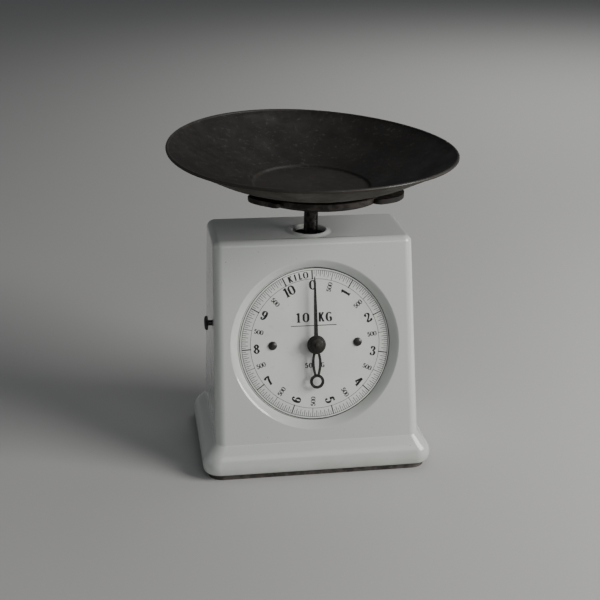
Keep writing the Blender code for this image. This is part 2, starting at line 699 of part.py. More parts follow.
def make_crank():
    frame = at(CRANK_X, 0, CRANK_Z)
    arm_z = SCREW_Z - CRANK_Z
    arm = block((-3, -31, arm_z - 5), (3, -23, 0))
    toe = block((0, -4, -3), (12, 4, 3))
    nose = block((6, -4, 0), (12, 4, YOKE_BAR_Z - GAP - CRANK_Z))
    holes = [bar("Y", (0, 0), PIN_R + GAP, -40, 20), bar("X", (SCREW_Y, arm_z), 2.75, -10, 10)]
    solid("zero_crank", frame, IRON, bar("Y", (0, 0), 5.5, -31, 6), [arm, toe, nose], holes)


def make_thumbscrew():
    """Turned from one bar: a milled head, a neck through the housing, a shoulder, then the threaded end."""
    outer_face = -(SIDE_X + SIDE_SHEET) - GAP
    inner_face = -SIDE_X + GAP
    neck_r = 2.6
    parts = [
        bar("X", (0, 0), neck_r, -101, inner_face + 3),
        bar("X", (0, 0), 4.4, outer_face - 2.5, outer_face),
        bar("X", (0, 0), 2.2, inner_face + 2, -56),
    ]
    frame = at(0, SCREW_Y, SCREW_Z)
    solid("zero_thumbscrew", frame, BLACK, bar("X", (0, 0), KNOB_R, -103.9, -100.6, 32), parts)
    solid("thumbscrew_clip", frame, STEEL, bar("X", (0, 0), 4.6, inner_face, inner_face + 1.4),
          holes=[bar("X", (0, 0), neck_r + GAP, -100, -50)])


# ---------------------------------------------------------------- carrier and dish

def lug(outline):
    points = [(x - ROD_X, y, RING_BOTTOM) for x, y in outline]
    return prism(points, (0, 0, 4.6))


RIGHT_LUG = (
    (40, -38), (48.4, -49.1), (53.6, -55), (67, -51), (75.6, -44.6),
    (81, -36), (83.2, -28), (82, -21), (76, -14), (58, -10),
)
LEFT_LUG = (
    (-34, -30), (-48, -22), (-61.4, -26.9), (-62.5, -34),
    (-58, -43), (-47, -53), (-40, -58), (-34, -50),
)
REAR_LUG = ((14, 50), (14, 72), (9, 80), (2, 82), (-5, 79), (-9, 72), (-9, 50))


def make_carrier():
    x, y = CARRIER_X - ROD_X, CARRIER_Y
    floor = bar("Z", (x, y), CARRIER_R, CARRIER_Z, RING_TOP, 48)
    joined = [lug(outline) for outline in (RIGHT_LUG, LEFT_LUG, REAR_LUG)]
    joined.append(bar("Z", (0, 0), 12, 249.5, CARRIER_Z + 1))
    holes = [
        bar("Z", (x, y), CARRIER_R - 2.5, CARRIER_Z + 3.6, RING_TOP + 5, 48),
        ring_undercut(x, y),
        bar("Z", (0, 0), 4.5 + GAP, 240, ROD_TOP + GAP),
        bar("Z", (0, 0), 2.2, 240, 270, 16),
    ]
    solid("dish_carrier", ROD, IRON, floor, joined, holes)
    solid("carrier_screw", ROD, STEEL, bar("Z", (0, 0), 5.5, CARRIER_Z + 3.6 + GAP, 261.0),
          joined=[bar("Z", (0, 0), 1.85, ROD_TOP - 8, 260, 12)])


def ring_undercut(x, y):
    """Clears the space outside the floor disc and below the ring."""
    cutter = frozen(turned("undercut", ROD @ at(x, y, 0), IRON, (
        (CARRIER_R + 2, RING_BOTTOM), (CARRIER_R + 2, CARRIER_Z - 2), (CARRIER_R - 4.5, CARRIER_Z - 2),
        (CARRIER_R - 4.5, RING_BOTTOM),
    ), 48, CUTTERS))
    cutter.data.transform(at(x, y, 0))
    bm = bmesh.new()
    bm.from_mesh(cutter.data)
    bpy.data.objects.remove(cutter)
    return bm


def make_dish():
    """Thin spun metal: a flat well, a narrow step, a bowl that steepens outwards and a bead at the rim."""
    bowl = ((57.5, 34.4), (70, 30.4), (85, 25.3), (100, 19.4), (115, 11.4), (128, 4.6))
    inner = [(0, -WELL_DEPTH), (30, -WELL_DEPTH), (51.5, -WELL_DEPTH), (54.5, 0.8 - WELL_DEPTH)]
    inner += [(radius, -depth) for radius, depth in bowl] + [(133.0, -1.2)]
    rim = [(134.2, 0.1), (DISH_R, -0.4), (DISH_R, -1.8), (134.6, -2.4)]
    under = [(radius + 0.3, -depth - SHEET) for radius, depth in reversed(bowl)]
    under += [(55.0, -WELL_DEPTH - 0.4), (51.8, -WELL_DEPTH - SHEET), (30, -WELL_DEPTH - SHEET)]
    profile = inner + rim + under + [(0, -WELL_DEPTH - SHEET)]
    obj = frozen(turned("dish", at(*DISH_CENTRE), DISH_METAL, profile, 48))
    mesh = obj.data
    for vertex in mesh.vertices:
        x, y = vertex.co.x / MM, vertex.co.y / MM
        turn = 2 * (math.atan2(y, x) - math.radians(DISH_TWIST_ANGLE))
        saddle = DISH_TWIST * (math.hypot(x, y) / DISH_TWIST_R) ** 2 * math.cos(turn)
        vertex.co.z += (DISH_TILT_BACK * y + DISH_TILT_SIDE * x - saddle) * MM


def main():
    make_housing()
    make_base()
    make_upright("frame_left", -1)
    make_upright("frame_right", 1)
    make_bridge()
    make_movement()
    make_dial()
    make_hand()
    make_rod()
    make_rack()
    make_links()
    front = LINK_Y[0] - GAP
    pivot_pin("upper_link_pivot", LINK_PIVOT_X, UPPER_PIN_Z - HALF_TRAVEL, front)
    pivot_pin("lower_link_pivot", LINK_PIVOT_X, LOWER_PIN_Z - HALF_TRAVEL, front)
    pivot_pin("yoke_pivot", YOKE_PIVOT_X, YOKE_PIVOT_Z, -4 - GAP)
    pivot_pin("crank_pivot", CRANK_X, CRANK_Z, -31 - GAP)
    make_spring("spring_left", -SPRING_X)
    make_spring("spring_right", SPRING_X)
    make_yoke()
    make_crank()
    make_thumbscrew()
    make_carrier()
    make_dish()


main()
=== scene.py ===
"""The looks of the enamelled dial scale: smooth enamel, printed dial, worn dish, and procedural materials.

Lengths are in millimetres unless a name says otherwise; the helpers scale them to metres.
"""

import json
import math

import bmesh
import bpy
from mathutils import Matrix, Vector

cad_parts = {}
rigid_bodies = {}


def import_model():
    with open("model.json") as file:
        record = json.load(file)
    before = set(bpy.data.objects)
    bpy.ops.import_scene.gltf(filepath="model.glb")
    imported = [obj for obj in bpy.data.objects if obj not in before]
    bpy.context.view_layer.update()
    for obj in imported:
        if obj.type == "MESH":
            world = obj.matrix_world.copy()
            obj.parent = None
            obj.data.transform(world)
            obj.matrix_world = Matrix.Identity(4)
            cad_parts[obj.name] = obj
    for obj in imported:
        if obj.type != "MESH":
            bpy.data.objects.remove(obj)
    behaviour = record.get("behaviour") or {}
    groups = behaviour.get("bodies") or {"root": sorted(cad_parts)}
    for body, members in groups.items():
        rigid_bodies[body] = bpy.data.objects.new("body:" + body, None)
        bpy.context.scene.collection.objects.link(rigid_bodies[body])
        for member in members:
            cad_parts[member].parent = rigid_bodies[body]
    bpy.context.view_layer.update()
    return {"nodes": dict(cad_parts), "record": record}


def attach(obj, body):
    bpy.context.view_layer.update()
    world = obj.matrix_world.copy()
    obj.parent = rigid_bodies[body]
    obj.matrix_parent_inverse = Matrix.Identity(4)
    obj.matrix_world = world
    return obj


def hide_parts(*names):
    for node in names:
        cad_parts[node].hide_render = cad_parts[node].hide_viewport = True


MM = 0.001
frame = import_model()

# ---------------------------------------------------------------- camera, floor and lights

# The camera stands where the photographer stood, in metres, and was solved from the object's outline.
CAMERA_AT = (-0.1763, -1.005, 0.5514)
YAW = math.radians(9.5066)
PITCH = math.radians(21.6725)
ROLL = math.radians(1.1144)
LENS = 67.257

FLOOR_COLOUR = (0.54, 0.54, 0.53, 1)
SKY_COLOUR = (0.93, 0.96, 1.0, 1)
SKY_STRENGTH = 0.1
# Each lamp: name, place and aim in metres, size, watts, colour, spread in degrees.
LAMPS = (
    ("key", (1.45, -0.8, 0.98), (0, 0, 0.15), (0.95, 0.95), 32, (1, 0.985, 0.96), 180),
    ("front", (0.45, -1.9, 1.3), (0, 0, 0.12), (1.2, 0.8), 4.2, (1, 1, 1), 180),
    ("left", (-1.8, -0.1, 0.62), (-0.1, 0, 0.12), (1.5, 1.1), 0.5, (0.95, 0.98, 1), 90),
    ("far_floor", (1.3, 1.5, 2.2), (1.3, 1.5, 0), (1.6, 1.6), 9, (1, 0.99, 0.98), 85),
    ("right_floor", (1.1, -0.2, 1.3), (1.1, -0.2, 0), (0.5, 0.5), 2.5, (1, 0.99, 0.98), 80),
)


def make_camera():
    forward = Vector((math.sin(YAW) * math.cos(PITCH), math.cos(YAW) * math.cos(PITCH), -math.sin(PITCH)))
    level = Vector((math.cos(YAW), -math.sin(YAW), 0))
    upright = level.cross(forward)
    right = math.cos(ROLL) * level + math.sin(ROLL) * upright
    up = math.cos(ROLL) * upright - math.sin(ROLL) * level
    data = bpy.data.cameras.new("camera")
    data.lens = LENS
    data.sensor_width = 36
    camera = bpy.data.objects.new("camera", data)
    turn = Matrix((right, up, -forward)).transposed().to_4x4()
    camera.matrix_world = Matrix.Translation(CAMERA_AT) @ turn
    bpy.context.collection.objects.link(camera)
    bpy.context.scene.camera = camera


def area_light(name, place, aim, size, power, colour, spread):
    data = bpy.data.lights.new(name, "AREA")
    data.shape = "RECTANGLE"
    data.size, data.size_y = size
    data.energy = power
    data.color = colour
    data.spread = math.radians(spread)
    lamp = bpy.data.objects.new(name, data)
    lamp.location = place
    lamp.rotation_euler = (Vector(aim) - Vector(place)).to_track_quat("-Z", "Y").to_euler()
    bpy.context.collection.objects.link(lamp)


def make_stage():
    bm = bmesh.new()
    bmesh.ops.create_grid(bm, x_segments=8, y_segments=8, size=4)
    mesh = bpy.data.meshes.new("floor")
    bm.to_mesh(mesh)
    bm.free()
    floor = bpy.data.objects.new("floor", mesh)
    bpy.context.collection.objects.link(floor)
    paper = bpy.data.materials.new("floor_paper")
    paper.use_nodes = True
    shader = paper.node_tree.nodes["Principled BSDF"]
    shader.inputs["Base Color"].default_value = FLOOR_COLOUR
    shader.inputs["Roughness"].default_value = 0.85
    mesh.materials.append(paper)
    for lamp in LAMPS:
        area_light(*lamp)
    world = bpy.context.scene.world or bpy.data.worlds.new("world")
    bpy.context.scene.world = world
    world.use_nodes = True
    background = world.node_tree.nodes["Background"]
    background.inputs["Color"].default_value = SKY_COLOUR
    background.inputs["Strength"].default_value = SKY_STRENGTH


# ---------------------------------------------------------------- material helpers

class Look:
    """A Principled material whose noise, ramps and bump are added by short calls."""

    def __init__(self, name, colour, roughness, metallic=0.0, coat=0.0):
        self.material = bpy.data.materials.new(name)
        self.material.use_nodes = True
        self.tree = self.material.node_tree
        self.shader = self.tree.nodes["Principled BSDF"]
        self.shader.inputs["Base Color"].default_value = (*colour, 1)
        self.shader.inputs["Roughness"].default_value = roughness
        self.shader.inputs["Metallic"].default_value = metallic
        self.shader.inputs["Coat Weight"].default_value = coat
        self.place = self.tree.nodes.new("ShaderNodeTexCoord").outputs["Object"]

    def link(self, source, target):
        self.tree.links.new(source, target)

    def stretched(self, scale):
        mapping = self.tree.nodes.new("ShaderNodeMapping")
        mapping.inputs["Scale"].default_value = scale
        self.link(self.place, mapping.inputs["Vector"])
        return mapping.outputs["Vector"]

    def noise(self, scale, detail=4.0, roughness=0.55, stretch=None, distortion=0.0):
        node = self.tree.nodes.new("ShaderNodeTexNoise")
        node.inputs["Scale"].default_value = scale
        node.inputs["Detail"].default_value = detail
        node.inputs["Roughness"].default_value = roughness
        node.inputs["Distortion"].default_value = distortion
        self.link(self.stretched(stretch) if stretch else self.place, node.inputs["Vector"])
        return node.outputs["Fac"]

    def ramp(self, value, low, high, first=0.0, last=1.0):
        node = self.tree.nodes.new("ShaderNodeMapRange")
        node.interpolation_type = "SMOOTHSTEP"
        for key, number in (("From Min", low), ("From Max", high), ("To Min", first), ("To Max", last)):
            node.inputs[key].default_value = number
        self.link(value, node.inputs["Value"])
        return node.outputs["Result"]

    def maths(self, operation, first, second):
        node = self.tree.nodes.new("ShaderNodeMath")
        node.operation = operation
        for socket, value in zip(node.inputs, (first, second)):
            if isinstance(value, (int, float)):
                socket.default_value = value
            else:
                self.link(value, socket)
        return node.outputs["Value"]

    def mix(self, share, first, second):
        node = self.tree.nodes.new("ShaderNodeMix")
        node.data_type = "RGBA"
        self.link(share, node.inputs["Factor"])
        for socket, value in ((node.inputs["A"], first), (node.inputs["B"], second)):
            self.feed(socket, value)
        return node.outputs["Result"]

    def feed(self, socket, value):
        if isinstance(value, tuple):
            socket.default_value = (*value, 1)
        else:
            self.link(value, socket)

    def axis(self, name):
        node = self.tree.nodes.new("ShaderNodeSeparateXYZ")
        self.link(self.place, node.inputs["Vector"])
        return node.outputs[name]

    def pointed(self, spread=1.0):
        """High where edges stand out."""
        node = self.tree.nodes.new("ShaderNodeNewGeometry")
        return self.ramp(node.outputs["Pointiness"], 0.5, 0.5 + 0.1 * spread)

    def bump(self, height, distance, strength=1.0):
        node = self.tree.nodes.new("ShaderNodeBump")
        node.inputs["Distance"].default_value = distance * MM
        node.inputs["Strength"].default_value = strength
        self.link(height, node.inputs["Height"])
        previous = self.shader.inputs["Normal"].links
        if previous:
            self.link(previous[0].from_socket, node.inputs["Normal"])
        self.link(node.outputs["Normal"], self.shader.inputs["Normal"])

    def colour(self, value):
        self.feed(self.shader.inputs["Base Color"], value)

    def roughness(self, value):
        self.link(value, self.shader.inputs["Roughness"])


def enamel_look():
    look = Look("aged_enamel", (0.6, 0.62, 0.58), 0.2, coat=0.5)
    look.shader.inputs["Coat Roughness"].default_value = 0.06
    cloud = look.ramp(look.noise(7, 2), 0.35, 0.7)
    base = look.mix(cloud, (0.655, 0.68, 0.65), (0.625, 0.65, 0.615))
    # Darker and browner in blotches towards the bottom, on the flare below 26 mm.
    low = look.ramp(look.axis("Z"), 0.006, 0.026, 1.0, 0.0)
    low_darkening = look.maths("MULTIPLY", low, look.ramp(look.noise(26, 4), 0.4, 0.7))
    base = look.mix(look.maths("MULTIPLY", low_darkening, 0.3), base, (0.30, 0.28, 0.22))
    speck = look.ramp(look.noise(460, 2), 0.75, 0.77)
    rare = look.ramp(look.noise(17, 2), 0.5, 0.62)
    chips = look.maths("MULTIPLY", speck, rare)
    base = look.mix(chips, base, (0.03, 0.025, 0.02))
    look.colour(base)
    look.roughness(look.ramp(look.noise(20, 3), 0.3, 0.7, 0.14, 0.21))
    look.bump(look.noise(11, 2), 0.15)
    return look.material


def dial_look():
    look = Look("dial_enamel", (0.74, 0.76, 0.72), 0.32, coat=0.2)
    cloud = look.ramp(look.noise(22, 3), 0.35, 0.7)
    base = look.mix(cloud, (0.81, 0.83, 0.795), (0.76, 0.78, 0.745))
    speck = look.ramp(look.noise(520, 2), 0.745, 0.765)
    look.colour(look.mix(speck, base, (0.2, 0.18, 0.15)))
    look.roughness(look.ramp(look.noise(60, 3), 0.3, 0.7, 0.26, 0.4))
    look.bump(look.noise(18, 2), 0.12)
    return look.material


def print_look():
    look = Look("print_ink", (0.02, 0.02, 0.02), 0.45)
    worn = look.ramp(look.noise(340, 3), 0.62, 0.8)
    look.colour(look.mix(worn, (0.012, 0.012, 0.014), (0.14, 0.14, 0.13)))
    look.roughness(look.ramp(look.noise(90, 2), 0.3, 0.7, 0.35, 0.55))
    return look.material


def faint_look():
    look = Look("print_ink_faint", (0.03, 0.03, 0.03), 0.45)
    worn = look.ramp(look.noise(300, 3), 0.5, 0.76)
    look.colour(look.mix(worn, (0.03, 0.03, 0.032), (0.18, 0.18, 0.17)))
    look.roughness(look.ramp(look.noise(90, 2), 0.3, 0.7, 0.35, 0.55))
    return look.material


def dark_metal_look(name, dark, light, roughness, metallic, grain=70, coat=0.0):
    look = Look(name, dark, roughness, metallic, coat)
    patch = look.ramp(look.noise(grain, 5, 0.6), 0.4, 0.68)
    base = look.mix(patch, dark, light)
    worn = look.maths("MULTIPLY", look.pointed(), look.ramp(look.noise(grain * 3, 3), 0.4, 0.6))
    base = look.mix(look.maths("MULTIPLY", worn, 0.5), base, tuple(min(1, 2.5 * c + 0.03) for c in light))
    look.colour(base)
    look.roughness(look.ramp(look.noise(grain * 2, 4), 0.3, 0.7, roughness - 0.1, roughness + 0.12))
    look.bump(look.noise(grain * 6, 4), 0.06)
    return look.material


def dish_look():
    """Dark and mottled inside; duller, browner and less worn underneath, where the lighter colour is partly
    that finish and partly painted light bounced up from below.
    """
    look = Look("worn_dish", (0.03, 0.027, 0.023), 0.45)
    patch = look.ramp(look.noise(14, 6, 0.65, distortion=0.5), 0.38, 0.66)
    fine = look.ramp(look.noise(110, 6, 0.65), 0.42, 0.68)
    inside = look.mix(patch, (0.018, 0.0155, 0.014), (0.034, 0.030, 0.027))
    inside = look.mix(look.maths("MULTIPLY", fine, 0.6), inside, (0.015, 0.012, 0.0105))
    spots = look.ramp(look.noise(230, 5, 0.65), 0.56, 0.7)
    inside = look.mix(look.maths("MULTIPLY", spots, 0.5), inside, (0.095, 0.088, 0.075))
    # Convex edges such as the well's step and the bead are lighter: partly rubbed metal, partly a painted
    # highlight.
    inside = look.mix(look.maths("MULTIPLY", look.pointed(0.5), 0.3), inside, (0.11, 0.10, 0.09))
    # The underside colours are lighter: partly a duller, browner finish and partly painted light bounced up
    # from below.
    below = look.mix(patch, (0.044, 0.038, 0.029), (0.024, 0.019, 0.014))
    below = look.mix(look.maths("MULTIPLY", fine, 0.5), below, (0.022, 0.018, 0.014))
    across = look.maths("POWER", look.axis("X"), 2)
    radius = look.maths("SQRT", look.maths("ADD", across, look.maths("POWER", look.axis("Y"), 2)), 0)
    well = look.ramp(radius, 0.050, 0.0575, 0.55, 0.0)
    well_share = look.maths("MULTIPLY", well, look.ramp(fine, 0, 1, 0.6, 1))
    inside = look.mix(well_share, inside, (0.075, 0.066, 0.058))
    # Faces turned downwards take the underside colours, so this split by facing is partly painted light.
    split = look.tree.nodes.new("ShaderNodeSeparateXYZ")
    look.link(look.tree.nodes.new("ShaderNodeNewGeometry").outputs["Normal"], split.inputs["Vector"])
    upper = look.ramp(split.outputs["Z"], -0.15, 0.1)
    look.colour(look.mix(upper, below, inside))
    look.link(look.ramp(upper, 0, 1, 0.1, 0.3), look.shader.inputs["Metallic"])
    dull = look.ramp(upper, 0, 1, 0.26, 0.0)
    look.roughness(look.maths("ADD", dull, look.ramp(look.noise(38, 5), 0.3, 0.7, 0.36, 0.6)))
    look.bump(look.noise(20, 3), 0.4)
    look.bump(look.noise(260, 4), 0.035)
    return look.material


def brushed_look(name, colour, roughness, stretch):
    look = Look(name, colour, roughness, 1.0)
    streak = look.noise(120, 4, 0.6, stretch=stretch)
    tarnish = look.ramp(look.noise(35, 4), 0.4, 0.7)
    dull = tuple(c * 0.55 for c in colour)
    look.colour(look.mix(tarnish, colour, dull))
    look.roughness(look.ramp(streak, 0.3, 0.7, roughness - 0.08, roughness + 0.14))
    look.bump(streak, 0.02)
    return look.material


# ---------------------------------------------------------------- mesh helpers

def at(x, y, z):
    return Matrix.Translation(Vector((x, y, z)) * MM)


FRONT_SLOPE = 0.27657
COS_LEAN = 1 / math.hypot(1, FRONT_SLOPE)
SIN_LEAN = FRONT_SLOPE * COS_LEAN
WORLD = at(0, 0, 0)
DIAL = at(0, -45.28, 119.2) @ Matrix((
    (1, 0, 0, 0),
    (0, SIN_LEAN, -COS_LEAN, 0),
    (0, COS_LEAN, SIN_LEAN, 0),
    (0, 0, 0, 1),
))
HOLE_X = -1.0
ROD_X = 1.0
RECESS = DIAL @ at(HOLE_X, 0, 0)
FRONT_S = 8.1


def piece(name, bm, place, look, body, nodes=(), angle=35):
    mesh = bpy.data.meshes.new(name)
    bm.to_mesh(mesh)
    bm.free()
    obj = bpy.data.objects.new(name, mesh)
    obj.matrix_world = place
    bpy.context.collection.objects.link(obj)
    mesh.materials.append(look)
    mesh.shade_smooth()
    mesh.set_sharp_from_angle(angle=math.radians(angle))
    finish_piece(obj, body, nodes)
    return obj


def finish_piece(obj, body, nodes):
    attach(obj, body)
    if nodes:
        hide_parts(*nodes)


def turned(profile, steps, bm=None, place=None):
    """Adds a profile of (radius, height), run down its outer side, turned about Z."""
    bm = bm or bmesh.new()
    place = place or Matrix.Identity(4)
    closed = profile[0][0] > 0
    rings = []
    for radius, height in profile:
        if radius == 0:
            rings.append([bm.verts.new(place @ Vector((0, 0, height * MM)))] * steps)
            continue
        ring = []
        for step in range(steps):
            angle = 2 * math.pi * step / steps
            spot = Vector((radius * math.cos(angle), radius * math.sin(angle), height)) * MM
            ring.append(bm.verts.new(place @ spot))
        rings.append(ring)
    pairs = list(zip(rings, rings[1:]))
    if closed:
        pairs.append((rings[-1], rings[0]))
    for upper, lower in pairs:
        for step in range(steps):
            after = (step + 1) % steps
            corners = []
            for vertex in (upper[step], lower[step], lower[after], upper[after]):
                if vertex not in corners:
                    corners.append(vertex)
            bm.faces.new(corners)
    return bm


def prism(bm, outline, low, high):
    """Adds a flat outline of (x, y), turning left, between two heights."""
    bottom = [bm.verts.new(Vector((x, y, low)) * MM) for x, y in outline]
    top = [bm.verts.new(Vector((x, y, high)) * MM) for x, y in outline]
    bm.faces.new(bottom[::-1])
    bm.faces.new(top)
    count = len(outline)
    for index in range(count):
        after = (index + 1) % count
        bm.faces.new((bottom[index], bottom[after], top[after], top[index]))


def smooth_path(points, per_span=6, closed=False):
    """A Catmull-Rom curve through 2-D points."""
    count = len(points)
    spans = count if closed else count - 1
    path = []
    for index in range(spans):
        if closed:
            a, b, c, d = (Vector(points[(index + shift) % count]) for shift in (-1, 0, 1, 2))
        else:
            a, b, c, d = (Vector(points[min(max(index + shift, 0), count - 1)]) for shift in (-1, 0, 1, 2))
        for step in range(per_span):
            t = step / per_span
            path.append(0.5 * (2 * b + (c - a) * t + (2 * a - 5 * b + 4 * c - d) * t * t
                               + (3 * b - a - 3 * c + d) * t ** 3))
    if not closed:
        path.append(Vector(points[-1]))
    return path


# ---------------------------------------------------------------- housing

CORNER_POINTS = 13
TOP_Z = 217.5
TOP_HALF_WIDTH = 95.0
CREASE_Z = 33.2
CREASE_HALF_WIDTH = 98.3
FLARE_OUT = 12.2
FRONT_FLARE = 10.9
FRONT_TOP_Y = -26.5
BACK_TOP_Y = 51.5
BACK_CREASE_Y = 49.6
TOP_ROUND = 7.0
HOLE_R = 15.5
OPENING_R = 73.3
RIM_Z = 6.1
WALL = 1.2
RECESS_R = 81.0
RECESS_ROLL_DEPTH = 7.2
RECESS_ROLL_POWER = 1.35
KNOB_AT = (-27, 138)


def front_y(z):
    return FRONT_TOP_Y - (TOP_Z - z) * FRONT_SLOPE


def rounded_section(z, half_width, y_front, y_back, radius):
    points = []
    corners = (
        (half_width - radius, y_back - radius),
        (radius - half_width, y_back - radius),
        (radius - half_width, y_front + radius),
        (half_width - radius, y_front + radius),
    )
    for quarter, (x, y) in enumerate(corners):
        for step in range(CORNER_POINTS):
            angle = (quarter + step / (CORNER_POINTS - 1)) * math.pi / 2
            points.append(Vector((x + radius * math.cos(angle), y + radius * math.sin(angle), z)))
    return points


def circle_section(z, radius):
    count = 4 * CORNER_POINTS
    angles = [(index + 0.5) * 2 * math.pi / count for index in range(count)]
    return [Vector((HOLE_X + radius * math.cos(a), radius * math.sin(a), z)) for a in angles]


# The flare: height, and the share of its full reach there.
FLARE_CURVE = (
    (RIM_Z, 0.86), (7.6, 0.945), (10.5, 0.99), (14.0, 1.0), (18.0, 0.93), (22.5, 0.73),
    (27.0, 0.42), (30.5, 0.17), (CREASE_Z - 0.6, 0.02),
)
# The lip of the rod's hole: rise above the top, and reach outside the hole.
LIP_CURVE = (
    (0, 7), (0.12, 6), (0.5, 4.8), (1.1, 3.7), (1.75, 2.7), (2.05, 1.9), (2.0, 1.1),
    (1.5, 0.4), (0.7, 0.05), (-0.6, 0), (-3.0, 0),
)


def housing_sections():
    sections = []
    for z, share in smooth_path(FLARE_CURVE, 3):
        sections.append(rounded_section(
            z, CREASE_HALF_WIDTH + FLARE_OUT * share, front_y(CREASE_Z) - FRONT_FLARE * share,
            BACK_CREASE_Y + FLARE_OUT * share, 10 + 6 * share,
        ))
    sections.append(rounded_section(CREASE_Z, CREASE_HALF_WIDTH, front_y(CREASE_Z), BACK_CREASE_Y, 10))
    arc_steps = 8
    for step in range(arc_steps + 1):
        angle = step / arc_steps * math.pi / 2
        inset = TOP_ROUND * (1 - math.cos(angle))
        z = TOP_Z - TOP_ROUND * (1 - math.sin(angle))
        sections.append(rounded_section(
            z, TOP_HALF_WIDTH - inset, front_y(TOP_Z - TOP_ROUND) + inset, BACK_TOP_Y - inset, 9 - inset,
        ))
    for rise, out in LIP_CURVE:
        sections.append(circle_section(TOP_Z + rise, HOLE_R + out))
    return sections


def collar_profile():
    """The rolled edge of the dial recess, from the front's plane in and down, and its hidden back."""
    roll = []
    for step in range(17):
        share = step / 16
        drop = RECESS_ROLL_DEPTH * share ** RECESS_ROLL_POWER
        roll.append((RECESS_R - (RECESS_R - OPENING_R) * share, FRONT_S - drop))
    hidden = [(RECESS_R, FRONT_S - 1.4), (78.5, FRONT_S - 3.6), (76.0, FRONT_S - 6.2), (74.6, FRONT_S - 8.2)]
    return hidden + [(74.6, -1.0), (OPENING_R, -1.0)] + roll[::-1]


def make_housing(look):
    bm = bmesh.new()
    rings = [[bm.verts.new(point * MM) for point in section] for section in housing_sections()]
    count = len(rings[0])
    for lower, upper in zip(rings, rings[1:]):
        for index in range(count):
            after = (index + 1) % count
            bm.faces.new((lower[index], lower[after], upper[after], upper[index]))
    mesh = bpy.data.meshes.new("housing_enamel")
    bm.to_mesh(mesh)
    bm.free()
    obj = bpy.data.objects.new("housing_enamel", mesh)
    bpy.context.collection.objects.link(obj)
    mesh.materials.append(look)
    mesh.shade_smooth()
    wall = obj.modifiers.new("Wall", "SOLIDIFY")
    wall.thickness = WALL * MM
    wall.offset = -1
    wall.use_even_offset = False
    opening = cutter("opening_cutter", turned([(0, 30), (80.9, 30), (80.9, -20), (0, -20)], 160), RECESS)
    knob_hole = turned([(0, 20), (3.6, 20), (3.6, -20), (0, -20)], 32)
    side = at(-TOP_HALF_WIDTH, *KNOB_AT) @ Matrix.Rotation(math.pi / 2, 4, "Y")
    for helper in (opening, cutter("knob_cutter", knob_hole, side)):
        cut = obj.modifiers.new("Cut", "BOOLEAN")
        cut.solver = "EXACT"
        cut.object = helper
    weighted = obj.modifiers.new("Normals", "WEIGHTED_NORMAL")
    weighted.weight = 100
    weighted.keep_sharp = True
    graph = bpy.context.evaluated_depsgraph_get()
    whole = bpy.data.meshes.new_from_object(
        obj.evaluated_get(graph), preserve_all_data_layers=True, depsgraph=graph,
    )
    obj.modifiers.clear()
    obj.data = whole
    for helper in list(bpy.data.objects):
        if helper.name.endswith("_cutter"):
            bpy.data.objects.remove(helper)
    finish_piece(obj, "stand", ("housing",))
    roll = turned(collar_profile(), 160)
    roll.transform(RECESS)
    piece("dial_recess_roll", roll, WORLD, look, "stand", angle=60)


def cutter(name, bm, place):
    mesh = bpy.data.meshes.new(name)
    bm.to_mesh(mesh)
    bm.free()
    obj = bpy.data.objects.new(name, mesh)
    obj.matrix_world = place
    bpy.context.collection.objects.link(obj)
    return obj


# ---------------------------------------------------------------- dial and its print

PRINT_TURN = math.radians(-1.3)
DEGREES_PER_KILO = 33.6
PRINT_S = 0.06

TICK_R = 70.4
INNER_CIRCLE_R = 62.1

